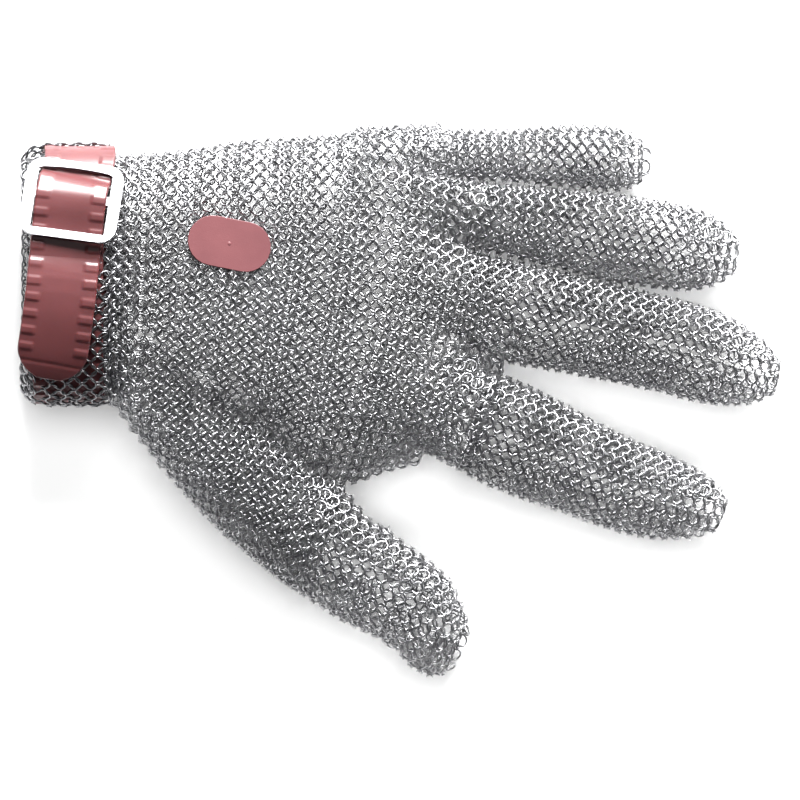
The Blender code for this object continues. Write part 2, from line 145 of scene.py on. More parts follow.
# Hand body: x (measured to the webs at 0), low y, high y, low z, top
BODY_ROWS = (
    (-114, 2.2, 74.4, 2.8, 35.6), (-109, 1.0, 74.8, 2.0, 36.6), (-103, -1.6, 75.2, 0.6, 38.8),
    (-96, -2.5, 75.6, 0.0, 39.4), (-84, -5.0, 77.2, 0.0, 39.4), (-66, -8.5, 79.4, 0.0, 37.8),
    (-44, -21.0, 80.6, 0.0, 34.4), (-30, -23.5, 81.6, 0.0, 31.0), (-18, -24.5, 82.2, 0.0, 27.2),
    (-8, -21.0, 82.6, 0.0, 22.0), (0, -19.0, 82.6, 0.0, 15.0))
BODY_CAP = 9.0
WEB_LINE = ((-30, -4.0), (-20, 2.0), (-2, 24.0), (11, 30.5), (45, 26.0), (66, 15.5), (76, 12.0))
BODY_REAR = -86.0
# Heading of the mail's columns at the knuckles, in degrees from +X
HEADINGS = (
    (-70, -34.0), (-40, -28.0), (-14, -22.5), (-2, -21.0), (12, -16.5), (27, -12.6), (40, -11.0),
    (55, -9.2), (64, -5.0), (74, -1.5), (84, -1.5))
FAN_FROM = -90.0
FAN_TO = 22.0
HAND_PITCH = 4.42
HAND_STEP = 1.82

# Cuff: offsets are out from the inner mesh layer's outer face, as in the CAD model
CUFF_POWER = 2.3
CUFF_COLUMNS = 41
CUFF_STEP = 2.3
CUFF_RING = 1.96
CUFF_TILT = math.radians(13.0)
RIM_INSET = 1.9
STRAP_PULL = 2.6  # how far the strap draws the rim in where it crosses the back
STRAP_PULL_Y = 42.0
STRAP_PULL_REACH = 20.0
RIM_TAPER = 3.4
RIM_TAPER_LENGTH = 11.0
INNER_LEVEL = -0.7
OUTER_LEVEL = 2.5
TUNNEL_ARC = (89.5, 361.0)
STRAP_WIDTH = 21.2
STRAP_THICK = 1.6
STRAP_ROUTE = (
    (61, 0.3, -99.2), (90, 0.3, -99.6), (180, 0.3, -99.6), (270, 0.3, -99.4), (330, 0.3, -98.0),
    (360, 0.3, -96.4), (385, 0.35, -96.0), (399, 0.35, -96.8), (405, 0.7, -97.3), (411, 3.2, -97.9),
    (415, 4.0, -98.2), (421, 4.1, -98.7), (427, 3.2, -99.2), (433, 2.2, -99.6), (445, 2.2, -100.5))
TAIL_ROUTE = (
    (445, 2.2, -100.5), (447.5, 2.7, -100.7), (451, 3.4, -101.1), (456, 3.6, -101.5),
    (470, 3.5, -102.9), (486, 3.5, -104.4), (498, 3.5, -105.6))
TAIL_ROUND = 9.5
TAIL_END_SHARE = 0.16
STRAP_GRID = 0.4
RIB_PITCH = 5.0
RIB_LENGTH = 4.6
RIB_WIDTH = 2.3
RIB_HEIGHT = 0.3
EDGE_ROUND = 0.6
TAIL_CREASE = 5.2
TAIL_BEND = 6.0  # along the tail, until it moves fully with its joint

# Size tag: the mail is pressed down under it
TAG_TURN = math.radians(-11.0)
TAG_HALF_LENGTH = 12.5
TAG_HALF_WIDTH = 7.5
TAG_THICK = 1.8
RIM_WIDTH = 0.8
RIM_DEPTH = 0.22
FLAT_AREA = 8.0
GATE_RADIUS = 0.8
GATE_HEIGHT = 0.35
TAG_RISE = 3.5
TAG_PRESS = 1.25
TAG_EASE = 4.5

TURN_EASE = 45.0  # along a digit, until its rows have turned from the hand's heading to their own
THUMB_TURN = 14.0  # the thumb's columns stay turned toward the hand's
STRAY = 0.5  # rings further than this off the surface are dropped

# Which body each ring rides on, by distance along its digit or along the hand
DIGIT_REAR = -11.0
DIGIT_SIDE = 2.2
DIGIT_PAST_TIP = 3.0
BEND_REACH = 11.0
BLEND_HEIGHT = 12.0
CREASE_FORE = 8.0
CREASE_AFT = 6.0
THUMB_ROOT_Y = -8.0
BACK_SLOPE = -0.15
HAND_SPLIT_X = -34.0

# Tracing a row round the surface
TRACE = 0.6
PLAN_STEP = 0.5
PLAN_REACH = 150.0

# Studio, in metres
LAMPS = (("key", (0.15, 1.08, 0.54), 0.72, 74.0), ("top", (0.0, 0.25, 1.2), 0.8, 1.0))
FLOOR_FILL = 8.0
FLOOR_REACH = 12.0
CAMERA_HEIGHT = 3.6
CAMERA_FOCUS = 0.015  # height of the plane that the view's width is measured on
VIEW_WIDTH = 0.240

rng = np.random.default_rng(SEED)


# ---------------------------------------------------------------- materials

def shader_of(name):
    made = bpy.data.materials.new(name)
    made.use_nodes = True
    nodes, links = made.node_tree.nodes, made.node_tree.links
    return made, nodes, links, nodes["Principled BSDF"]


def noise(nodes, links, scale, detail, coords):
    texture = nodes.new("ShaderNodeTexNoise")
    texture.inputs["Scale"].default_value = scale
    texture.inputs["Detail"].default_value = detail
    links.new(coords, texture.inputs["Vector"])
    return texture.outputs["Fac"]


def ramp(nodes, links, value, low, high, low_at=0.3, high_at=0.7):
    made = nodes.new("ShaderNodeValToRGB")
    made.color_ramp.elements[0].position = low_at
    made.color_ramp.elements[1].position = high_at
    made.color_ramp.elements[0].color = (*low, 1.0)
    made.color_ramp.elements[1].color = (*high, 1.0)
    links.new(value, made.inputs["Fac"])
    return made.outputs["Color"]


def bump(nodes, links, shader, height, distance, strength=1.0):
    made = nodes.new("ShaderNodeBump")
    made.inputs["Distance"].default_value = distance
    made.inputs["Strength"].default_value = strength
    links.new(height, made.inputs["Height"])
    links.new(made.outputs["Normal"], shader.inputs["Normal"])


def object_coords(nodes):
    return nodes.new("ShaderNodeTexCoord").outputs["Object"]


def steel_wire(name, shine):
    """Drawn stainless wire: a worn satin shine that changes from ring to ring, with small scuffs. Lower
    levels make a darker copy with painted shade.
    """
    made, nodes, links, shader = shader_of(name)
    coords = object_coords(nodes)
    patches = noise(nodes, links, 230.0, 2.0, coords)
    scuffs = noise(nodes, links, 2600.0, 3.0, coords)
    dull, bright = ((level, level, level + 0.01) for level in shine)
    links.new(ramp(nodes, links, patches, dull, bright), shader.inputs["Base Color"])
    links.new(ramp(nodes, links, scuffs, (0.26,) * 3, (0.40,) * 3), shader.inputs["Roughness"])
    shader.inputs["Metallic"].default_value = 1.0
    bump(nodes, links, shader, scuffs, 0.00003)
    return made


def strap_plastic():
    """Translucent red polyurethane with a soft skin, paler where it is scuffed."""
    made, nodes, links, shader = shader_of("strap_polyurethane")
    coords = object_coords(nodes)
    cloud = noise(nodes, links, 60.0, 4.0, coords)
    skin = noise(nodes, links, 1800.0, 3.0, coords)
    red = ramp(nodes, links, cloud, (0.12, 0.036, 0.038), (0.16, 0.048, 0.051))
    links.new(red, shader.inputs["Base Color"])
    links.new(ramp(nodes, links, skin, (0.29,) * 3, (0.36,) * 3), shader.inputs["Roughness"])
    shader.inputs["Subsurface Weight"].default_value = 0.25
    shader.inputs["Subsurface Scale"].default_value = 0.002
    shader.inputs["IOR"].default_value = 1.5
    bump(nodes, links, shader, skin, 0.000012)
    return made


def tag_plastic():
    """Moulded rose-red plastic with a fine satin grain."""
    made, nodes, links, shader = shader_of("tag_plastic")
    coords = object_coords(nodes)
    cloud = noise(nodes, links, 90.0, 3.0, coords)
    grain = noise(nodes, links, 3000.0, 2.0, coords)
    red = ramp(nodes, links, cloud, (0.165, 0.054, 0.060), (0.20, 0.067, 0.073))
    links.new(red, shader.inputs["Base Color"])
    links.new(ramp(nodes, links, grain, (0.36,) * 3, (0.5,) * 3), shader.inputs["Roughness"])
    bump(nodes, links, shader, grain, 0.00003)
    return made


def buckle_steel():
    """Polished stainless plate with faint straight brush lines."""
    made, nodes, links, shader = shader_of("buckle_steel")
    coords = object_coords(nodes)
    stretch = nodes.new("ShaderNodeMapping")
    stretch.inputs["Scale"].default_value = (1.0, 14.0, 14.0)
    links.new(coords, stretch.inputs["Vector"])
    lines = noise(nodes, links, 320.0, 3.0, stretch.outputs["Vector"])
    links.new(ramp(nodes, links, lines, (0.30, 0.30, 0.31), (0.38, 0.38, 0.39)), shader.inputs["Base Color"])
    links.new(ramp(nodes, links, lines, (0.30,) * 3, (0.42,) * 3), shader.inputs["Roughness"])
    shader.inputs["Metallic"].default_value = 1.0
    bump(nodes, links, shader, lines, 0.00001)
    return made


# ---------------------------------------------------------------- the glove's surface

class Digit:
    """One finger or the thumb: a rounded tube along a line through its knuckle."""

    def __init__(self, name):
        joint = JOINTS[f"{name}_knuckle"]
        self.name = name
        self.turn = THUMB_TURN if name == "thumb" else 0.0
        self.x, self.y = (value / MM for value in joint["pos_m"][:2])
        self.cos, self.sin = joint["axis"][1], -joint["axis"][0]
        self.heading = math.degrees(math.atan2(self.sin, self.cos))
        shape = DIGIT_SHAPES[name]
        self.s, self.shift, self.half, self.top = np.array(shape["rows"], float).T
        self.half = self.half - SKIN
        self.top = self.top - SKIN
        self.cap, self.tip, self.round = shape["cap"]
        self.tip -= SKIN
        self.pitch, self.step = shape["pitch"], shape["step"]

    def local(self, x, y):
        dx, dy = x - self.x, y - self.y
        return dx * self.cos + dy * self.sin, -dx * self.sin + dy * self.cos

    def world(self, s, lateral):
        x = self.x + s * self.cos - lateral * self.sin
        y = self.y + s * self.sin + lateral * self.cos
        return x, y

    def cap_scale(self, s):
        t = np.clip((s - self.cap) / (self.tip - self.cap), 0.0, 1.0)
        return np.maximum(1 - t ** self.round, 1e-6) ** (1 / self.round)

    def section(self, s):
        scale = self.cap_scale(s)
        half = np.interp(s, self.s, self.half) * scale
        top = np.interp(s, self.s, self.top)
        middle = (top + FLOOR_GAP) / 2
        return np.interp(s, self.s, self.shift), half, middle, (top - FLOOR_GAP) / 2 * scale

    def field(self, x, y, z):
        s, lateral = self.local(x, y)
        shift, half, middle, high = self.section(s)
        d = rounded(lateral - shift, z - middle, half, high, DIGIT_POWER)
        return np.maximum(np.maximum(d, self.s[0] - s), s - self.tip)


def rounded(across, up, half, high, power):
    """About the distance to a superellipse: negative inside."""
    g = ((np.abs(across) / half) ** power + (np.abs(up) / high) ** power) ** (1 / power)
    return (g - 1) * np.minimum(half, high)


digits = {name: Digit(name) for name in DIGITS}
body_x, body_low, body_high, body_base, body_top = np.array(BODY_ROWS, float).T
web_y, web_x = np.array(WEB_LINE, float).T
heading_y, heading_at = np.array(HEADINGS, float).T
MIDDLE = digits["middle"]


def fan(x):
    t = np.clip((x - FAN_FROM) / (FAN_TO - FAN_FROM), 0.0, 1.0)
    return 0.04 + 0.96 * t


def body_field(x, y, z):
    ahead = np.interp(y, web_y, web_x)
    share = np.clip((x - BODY_REAR) / (ahead - BODY_REAR), 0.0, 2.0)
    along = (share - 1) * -body_x[0]
    low = np.interp(along, body_x, body_low) + SKIN
    high = np.interp(along, body_x, body_high) - SKIN
    base = np.interp(along, body_x, body_base) + FLOOR_GAP
    top = np.interp(along, body_x, body_top) - SKIN
    t = np.clip(along / BODY_CAP + 1, 0.0, 1.0)
    scale = np.sqrt(np.maximum(1 - t * t, 1e-6))
    across, up = y - (low + high) / 2, z - (base + top) / 2
    d = rounded(across, up, (high - low) / 2, (top - base) / 2 * scale, BODY_POWER)
    return np.maximum(np.maximum(d, along), BODY_REAR - 3.0 - x)


def smooth_union(a, b, reach):
    h = np.clip(0.5 + 0.5 * (b - a) / reach, 0.0, 1.0)
    return b * (1 - h) + a * h - reach * h * (1 - h)


def field(x, y, z):
    fingers = np.minimum.reduce([digits[name].field(x, y, z) for name in DIGITS[:4]])
    d = smooth_union(fingers, body_field(x, y, z), DIGIT_BLEND)
    d = smooth_union(d, digits["thumb"].field(x, y, z), THUMB_BLEND)
    return np.maximum(d, FLOOR_GAP - z)


def normals_at(points):
    e = 0.25
    x, y, z = points.T
    g = np.stack([
        field(x + e, y, z) - field(x - e, y, z),
        field(x, y + e, z) - field(x, y - e, z),
        field(x, y, z + e) - field(x, y, z - e)], axis=1)
    return g / np.maximum(np.linalg.norm(g, axis=1, keepdims=True), 1e-9)


# ---------------------------------------------------------------- rows of rings

def heading_field(x, y):
    """Heading of the columns over the hand, in radians. It fans out from the wrist to the knuckles."""
    share = fan(x)
    label = y
    for _ in range(3):
        mean = np.radians(np.interp(label, heading_y, heading_at) * (1 + share) / 2)
        label = y + (FAN_TO - x) * np.tan(mean)
    return np.radians(np.interp(label, heading_y, heading_at) * share)


def plan_of_rows(starts, follow_fan, headings):
    """Where each row runs in plan, as x and y at even steps to both sides of its start."""
    half = int(PLAN_REACH / PLAN_STEP)
    xs = np.zeros((len(starts), 2 * half + 1))
    ys = np.zeros_like(xs)
    for side in (-1, 1):
        x, y = starts[:, 0].copy(), starts[:, 1].copy()
        xs[:, half], ys[:, half] = x, y
        for k in range(1, half + 1):
            h = heading_field(x, y) if follow_fan else headings
            x = x - side * PLAN_STEP * np.sin(h)
            y = y + side * PLAN_STEP * np.cos(h)
            xs[:, half + side * k], ys[:, half + side * k] = x, y
    return xs, ys


def trace_rows(xs, ys):
    """Follows the surface round in the upright sheet of each row. Gives one closed path a row."""
    count = len(xs)
    half = xs.shape[1] // 2
    rows = np.arange(count)

    def place(q, z):
        at = np.clip(q / PLAN_STEP + half, 0, 2 * half - 1.001)
        k = at.astype(int)
        t = at - k
        return xs[rows, k] * (1 - t) + xs[rows, k + 1] * t, ys[rows, k] * (1 - t) + ys[rows, k + 1] * t, z

    def value(q, z):
        return field(*place(q, z))

    q = np.zeros(count)
    z = np.full(count, 48.0)
    for _ in range(240):
        z = np.where(value(q, z) > 0, z - 0.2, z)
    found = z > 2.5
    start = z.copy()
    paths = [[] for _ in rows]
    open_rows = found.copy()
    e = 0.15
    for step in range(int(2.6 * PLAN_REACH / TRACE)):
        gq = (value(q + e, z) - value(q - e, z)) / (2 * e)
        gz = (value(q, z + e) - value(q, z - e)) / (2 * e)
        size = np.maximum(np.hypot(gq, gz), 1e-6)
        miss = value(q, z) / size
        miss = np.clip(miss, -0.5, 0.5)
        q = q - miss * gq / size
        z = z - miss * gz / size
        px, py, pz = place(q, z)
        for r in np.nonzero(open_rows)[0]:
            paths[r].append((px[r], py[r], pz[r]))
        back = (step > 8) & (np.hypot(q, z - start) < 0.62 * TRACE) & open_rows
        open_rows &= ~back
        if not open_rows.any():
            break
        q = q + TRACE * gz / size
        z = z - TRACE * gq / size
    return [np.array(path) if ok and len(path) > 8 else None for path, ok in zip(paths, found)]


def run_of(path):
    closed = np.vstack([path, path[:1]])
    return closed, np.concatenate([[0.0], np.cumsum(np.linalg.norm(np.diff(closed, axis=0), axis=1))])


def ring_places(path, pitch, offset):
    """Ring centres and row directions, counted both ways from the start so that the odd gap is underneath."""
    closed, run = run_of(path)
    total = run[-1]
    ahead = np.arange(offset, total / 2 - 0.3 * pitch, pitch)
    behind = total - np.arange(pitch - offset, total / 2 - 0.3 * pitch, pitch)
    at = np.concatenate([ahead, behind])
    centre = np.stack([np.interp(at, run, closed[:, k]) for k in range(3)], axis=1)
    step = np.stack([
        np.interp((at + 0.5) % total, run, closed[:, k]) - np.interp((at - 0.5) % total, run, closed[:, k])
        for k in range(3)], axis=1)
    return centre, step / np.maximum(np.linalg.norm(step, axis=1, keepdims=True), 1e-9)


def eased(x, start, end, low, high):
    t = min(max((x - start) / (end - start), 0.0), 1.0)
    return low + (high - low) * t * t * (3 - 2 * t)


def profile_steps(digit, s, step):
    """Next place along a digit, one row on, measured along its rounding tip."""
    walked = 0.0
    fine = 0.05
    while walked < step and s < digit.tip:
        a = digit.section(np.float64(s))
        b = digit.section(np.float64(min(s + fine, digit.tip)))
        rise = 0.5 * (abs(b[1] - a[1]) + abs(b[3] - a[3]))
        walked += math.hypot(fine, rise)
        s += fine
    return s


class Rings:
    """Growing list of rings: centre, row direction, outward normal, lean, pitch, row step and owner."""

    def __init__(self):
        self.parts = []

    def add_row(self, centre, along, pitch, step, lean, owner):
        self.parts.append((centre, along, np.full(len(centre), pitch), np.full(len(centre), step),
                           np.full(len(centre), lean), np.full(len(centre), owner)))

    def joined(self):
        return [np.concatenate([part[k] for part in self.parts]) for k in range(6)]


def hand_and_digits():
    rings = Rings()
    # Spine of the main rows: back from the middle finger's tip to the wrist
    starts, distances = [], []
    s = 0.0
    ahead = []
    while s < MIDDLE.tip - 0.6:
        ahead.append(s)
        s = profile_steps(MIDDLE, s, eased(s, -20, 24, HAND_STEP, MIDDLE.step))
    x, y = MIDDLE.x, MIDDLE.y
    behind = []
    s = 0.0
    while x > BODY_REAR:
        step = eased(s, -20, 24, HAND_STEP, MIDDLE.step)
        h = heading_field(np.array([x]), np.array([y]))[0]
        x -= step * math.cos(h)
        y -= step * math.sin(h)
        s -= step
        behind.append((s, x, y))
    for s, x, y in behind[::-1]:
        starts.append((x, y))
        distances.append(s)
    for s in ahead:
        shift = MIDDLE.section(np.float64(s))[0]
        starts.append(MIDDLE.world(s, shift * eased(s, 0, 12, 0.0, 1.0)))
        distances.append(s)
    xs, ys = plan_of_rows(np.array(starts), True, None)
    main = trace_rows(xs, ys)
    last = {}
    for j, (path, s) in enumerate(zip(main, distances)):
        if path is None:
            continue
        pitch = eased(s, -25, 30, HAND_PITCH, MIDDLE.pitch)
        step = eased(s, -20, 24, HAND_STEP, MIDDLE.step)
        offset = 0.0 if j % 2 else pitch / 2
        centre, along = ring_places(path, pitch, offset)
        rings.add_row(centre, along, pitch, step, 1 if j % 2 else -1, 0)
        _, run = run_of(path)
        for name, digit in digits.items():
            if name == "middle":
                continue
            ds, lateral = digit.local(path[:, 0], path[:, 1])
            side = lateral - np.interp(ds, digit.s, digit.shift)
            cross = np.nonzero((side[:-1] * side[1:] <= 0) & (path[:-1, 2] > 9.0) & (ds[:-1] > digit.s[0]))[0]
            if len(cross) and (name not in last or ds[cross[0]] > last[name][0]):
                k = cross[0]
                u = run[k]
                total = run[-1]
                signed = u if u < total / 2 else u - total
                nearest = (np.round((signed - offset) / pitch)) * pitch + offset
                last[name] = (ds[k], (nearest - signed) * (1 if side[1 + k] > side[k] else -1), j, pitch)
    for name, (s, shift, j, pitch) in last.items():
        digit = digits[name]
        own, marks, drifts = [], [], []
        drift = 0.0
        first = s
        here = [np.array([value]) for value in digit.world(s, 0.0)]
        turn0 = math.degrees(float(heading_field(*here)[0])) - digit.heading
        while True:
            turn = eased(s, first, first + TURN_EASE, turn0, digit.turn)
            before = s
            s = profile_steps(digit, s, digit.step / math.cos(math.radians(turn)))
            drift += (s - before) * math.sin(math.radians(turn))
            if s > digit.tip - 0.5:
                break
            turn = eased(s, first, first + TURN_EASE, turn0, digit.turn)
            side = float(digit.section(np.float64(s))[0])
            own.append((*digit.world(s, side), math.radians(digit.heading + turn)))
            marks.append(s)
            drifts.append(drift)
        own = np.array(own)
        xs, ys = plan_of_rows(own[:, :2], False, own[:, 2])
        for i, (path, at, drift) in enumerate(zip(trace_rows(xs, ys), marks, drifts)):
            if path is None:
                continue
            row = j + 1 + i
            grown = eased(at, first, first + 22, pitch, digit.pitch)
            start = shift * grown / pitch + (grown / 2 if (i % 2 == 0) else 0.0) + drift
            centre, along = ring_places(path, grown, start % grown)
            rings.add_row(centre, along, grown, digit.step, 1 if row % 2 else -1, 1 + DIGITS.index(name))
    return rings


# ---------------------------------------------------------------- ring meshes

def lean_of(pitch, step):
    """About the tilt at which rings of this pitch and row step rest on each other."""
    free = (pitch / 4 + (RING_RADIUS ** 2 - (RING_RADIUS - WIRE) ** 2) / pitch) / RING_RADIUS
    reach = np.sqrt(np.clip(1 - free ** 2, 0.05, 1.0))
    return np.arccos(np.clip(step / (2 * RING_RADIUS * reach), 0.62, 0.985))


def ring_mesh(name, centre, along, normal, tilt, look, radius=RING_RADIUS):
    """One mesh of many wire rings. Each lies along its row and leans by its tilt."""
    count = len(centre)
    across = np.cross(normal, along)
    across /= np.maximum(np.linalg.norm(across, axis=1, keepdims=True), 1e-9)
    along = np.cross(across, normal)
    twist = rng.normal(0, TWIST_JITTER, count)[:, None]
    a = along * np.cos(twist) + across * np.sin(twist)
    b0 = np.cross(normal, a)
    tilt = tilt[:, None]
    b = b0 * np.cos(tilt) + normal * np.sin(tilt)
    c = np.cross(a, b)
    centre = centre + rng.normal(0, PLACE_JITTER, (count, 3))
    big = np.arange(RING_SIDES) * 2 * math.pi / RING_SIDES
    small = np.arange(WIRE_SIDES) * 2 * math.pi / WIRE_SIDES
    radial = np.cos(big)[None, :, None] * a[:, None, :] + np.sin(big)[None, :, None] * b[:, None, :]
    rim = (radius + WIRE / 2 * np.cos(small))[None, None, :, None] * radial[:, :, None, :]
    lift = (WIRE / 2 * np.sin(small))[None, None, :, None] * c[:, None, None, :]
    points = (centre[:, None, None, :] + rim + lift).reshape(-1, 3) * MM
    i, j = np.meshgrid(np.arange(RING_SIDES), np.arange(WIRE_SIDES), indexing="ij")
    i2, j2 = (i + 1) % RING_SIDES, (j + 1) % WIRE_SIDES
    quad = np.stack([
        i * WIRE_SIDES + j, i2 * WIRE_SIDES + j,
        i2 * WIRE_SIDES + j2, i * WIRE_SIDES + j2], axis=-1).reshape(-1, 4)
    faces = (quad[None] + (np.arange(count) * RING_SIDES * WIRE_SIDES)[:, None, None]).reshape(-1, 4)
    mesh = bpy.data.meshes.new(name)
    mesh.vertices.add(len(points))
    mesh.vertices.foreach_set("co", points.astype(np.float32).ravel())
    mesh.loops.add(faces.size)
    mesh.loops.foreach_set("vertex_index", faces.astype(np.int32).ravel())
    mesh.polygons.add(len(faces))
    mesh.polygons.foreach_set("loop_start", np.arange(0, faces.size, 4, dtype=np.int32))
    mesh.polygons.foreach_set("use_smooth", np.ones(len(faces), bool))
    mesh.update(calc_edges=True)
    mesh.materials.append(look)
    made = bpy.data.objects.new(name, mesh)
    bpy.context.scene.collection.objects.link(made)
    return made


def even_blend(piece):
    """Gives all the points of one ring the same share, so that rings turn whole and never bend."""
    per = RING_SIDES * WIRE_SIDES
    values = np.zeros(len(piece.data.vertices), np.float32)
    data = piece.data.attributes["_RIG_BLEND"].data
    data.foreach_get("value", values)
    whole = values.reshape(-1, per).mean(axis=1)
    data.foreach_set("value", np.repeat(whole, per).astype(np.float32))


def joint_place(name):
    return np.array(JOINTS[name]["pos_m"]) / MM


def press_under_tag(centre):
    """Lowers the rings below the size tag until they clear it, easing out around it."""
    source = frame["nodes"]["size_tag_front"]
    facing = [face for face in source.data.polygons if (source.matrix_world.to_3x3() @ face.normal).z > 0.9]
    corners = {corner for face in facing for corner in face.vertices}
    corners = np.array([source.matrix_world @ source.data.vertices[corner].co for corner in corners]) / MM
    corners = corners[corners[:, 2] > corners[:, 2].max() - TAG_RISE]
    middle = corners.mean(axis=0)
    slope = np.linalg.lstsq(corners[:, :2] - middle[:2], corners[:, 2] - middle[2], rcond=None)[0]
    flat = centre[:, :2] - middle[:2]
    u = np.abs(flat[:, 0] * math.cos(TAG_TURN) + flat[:, 1] * math.sin(TAG_TURN))
    v = np.abs(flat[:, 1] * math.cos(TAG_TURN) - flat[:, 0] * math.sin(TAG_TURN))
    outside = np.hypot(np.maximum(u - TAG_HALF_LENGTH + TAG_HALF_WIDTH, 0), v) - TAG_HALF_WIDTH
    share = np.clip(1 - (outside - 0.6) / TAG_EASE, 0, 1)
    share = share * share * (3 - 2 * share)
    limit = middle[2] + flat @ slope - TAG_THICK - TAG_PRESS
    upper = centre[:, 2] > middle[2] / 2
    drop = np.where(upper, np.maximum(centre[:, 2] - limit, 0), 0) * share
    centre[:, 2] -= drop


def build_mail(look):
    places = hand_and_digits().joined()
    near = np.abs(field(*places[0].T)) < STRAY
    centre, along, pitch, step, lean, owner = (part[near] for part in places)
    normal = normals_at(centre)
    press_under_tag(centre)
    tilt = LEAN_SHARE * lean_of(pitch, step) * lean + rng.normal(0, TILT_JITTER, len(centre))
    where = np.full(len(centre), "", dtype=object)
    blends = {}
    for number, name in enumerate(DIGITS):
        digit = digits[name]
        s, lateral = digit.local(centre[:, 0], centre[:, 1])
        side = np.abs(lateral - np.interp(s, digit.s, digit.shift))
        knuckles = [digit.local(*joint_place(f"{name}_{part}")[:2])[0] for part in (
            ("knuckle", "tip_joint") if name == "thumb" else ("knuckle", "second_joint", "tip_joint"))]
        if name == "thumb":
            bodies = ["hand", "thumb_proximal", "thumb_tip"]
        else:
            bodies = ["hand"] + [f"{name}_finger_{part}" for part in ("proximal", "middle", "tip")]
        spans = np.diff(knuckles)
        beside = side < np.interp(s, digit.s, digit.half) + DIGIT_SIDE
        mine = (owner == number + 1) | (
            (owner == 0) & beside & (s > DIGIT_REAR) & (s < digit.tip + DIGIT_PAST_TIP))
        if name == "index":
            mine &= (owner != 5)
        free = where == ""
        ends = [DIGIT_REAR] + [knuckles[k] + spans[k] / 2 for k in range(len(spans))] + [1e9]
        for k in range(len(bodies) - 1):
            here = mine & free & (s > ends[k]) & (s <= ends[k + 1])
            if k == 0:
                here = mine & free & (s <= ends[1]) & ((s > DIGIT_REAR) | (owner == number + 1))
            key = f"{name}_mail_{k + 1}"
            where[here] = key
            reach = min(BEND_REACH, spans[min(k, len(spans) - 1)] / 2)
            begin = digit.world(knuckles[k] - reach, 0.0)
            end = digit.world(knuckles[k] + reach, 0.0)
            blends[key] = (bodies[k], bodies[k + 1], begin, end)
    replaced = {"thumb_mail_1": ["thumb_proximal_mesh"], "thumb_mail_2": ["thumb_tip_mesh"]}
    for name in DIGITS[:4]:
        for k, part in enumerate(("proximal", "middle", "tip")):
            replaced[f"{name}_mail_{k + 1}"] = [f"{name}_finger_{part}_mesh"]
    free = where == ""
    wrist = joint_place("cuff_fold")
    thumb = digits["thumb"]
    s, lateral = thumb.local(centre[:, 0], centre[:, 1])
    side = np.abs(lateral - np.interp(s, thumb.s, thumb.shift))
    crease = free & (centre[:, 0] < wrist[0] + CREASE_FORE)
    ball = free & ~crease & (side < np.interp(s, thumb.s, thumb.half)) & (centre[:, 1] < THUMB_ROOT_Y)
    rest = free & ~crease & ~ball
    upper = normal[:, 2] > BACK_SLOPE
    forward = centre[:, 0] > HAND_SPLIT_X
    where[crease] = "wrist_mail"
    where[ball] = "thumb_root_mail"
    where[rest & upper & forward] = "back_mail_front"
    where[rest & upper & ~forward] = "back_mail_rear"
    where[rest & ~upper & forward] = "palm_mail_front"
    where[rest & ~upper & ~forward] = "palm_mail_rear"
    blends["wrist_mail"] = (
        "hand", "cuff", (wrist[0] + CREASE_FORE, wrist[1]), (wrist[0] - CREASE_AFT, wrist[1]))
    replaced.update({
        "thumb_root_mail": ["thumb_root_mesh"], "back_mail_front": ["back_of_hand_mesh"],
        "back_mail_rear": ["back_of_hand_mesh"], "palm_mail_front": ["palm_mesh"],
        "palm_mail_rear": ["palm_mesh"], "wrist_mail": ["cuff_tunnel_mesh"]})
    for key in sorted(set(where)):
        mine = where == key
        made = ring_mesh(key, centre[mine], along[mine], normal[mine], tilt[mine], look)
        if key in blends:
            first, second, begin, end = blends[key]
            start = (begin[0] * MM, begin[1] * MM, BLEND_HEIGHT * MM)
            stop = (end[0] * MM, end[1] * MM, BLEND_HEIGHT * MM)
            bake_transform(made, first, second, start=start, end=stop)
            even_blend(made)
        else:
            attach(made, "hand")
        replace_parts(made, *replaced[key])


# ---------------------------------------------------------------- cuff

cuff_box = [np.array(corner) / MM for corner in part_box("cuff_inner_mesh")]
cuff_middle = (cuff_box[0] + cuff_box[1]) / 2
cuff_half = (cuff_box[1] - cuff_box[0]) / 2
tunnel_box = [np.array(corner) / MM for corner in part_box("cuff_tunnel_mesh")]


def cuff_points(degrees, offset, x):
    """Points on the cuff's oval moved out by an offset. 0 degrees faces +Y and 90 faces up."""
    a = np.radians(np.asarray(degrees, float))
    c, s = np.cos(a), np.sin(a)
    power = 2 / CUFF_POWER
    y = (cuff_half[1] + offset) * np.copysign(np.abs(c) ** power, c)
    z = (cuff_half[2] + offset) * np.copysign(np.abs(s) ** power, s)
    return np.stack([np.broadcast_to(x, y.shape), cuff_middle[1] + y, cuff_middle[2] + z], axis=-1)


def even_degrees(offset, shares):
    """Angles at even shares of the way round the oval, measured along it."""
    fine = np.linspace(0.0, 360.0, 1441)
    loop = cuff_points(fine, offset, 0.0)
    run = np.concatenate([[0.0], np.cumsum(np.linalg.norm(np.diff(loop, axis=0), axis=1))])
    return np.interp(shares * run[-1], run, fine)


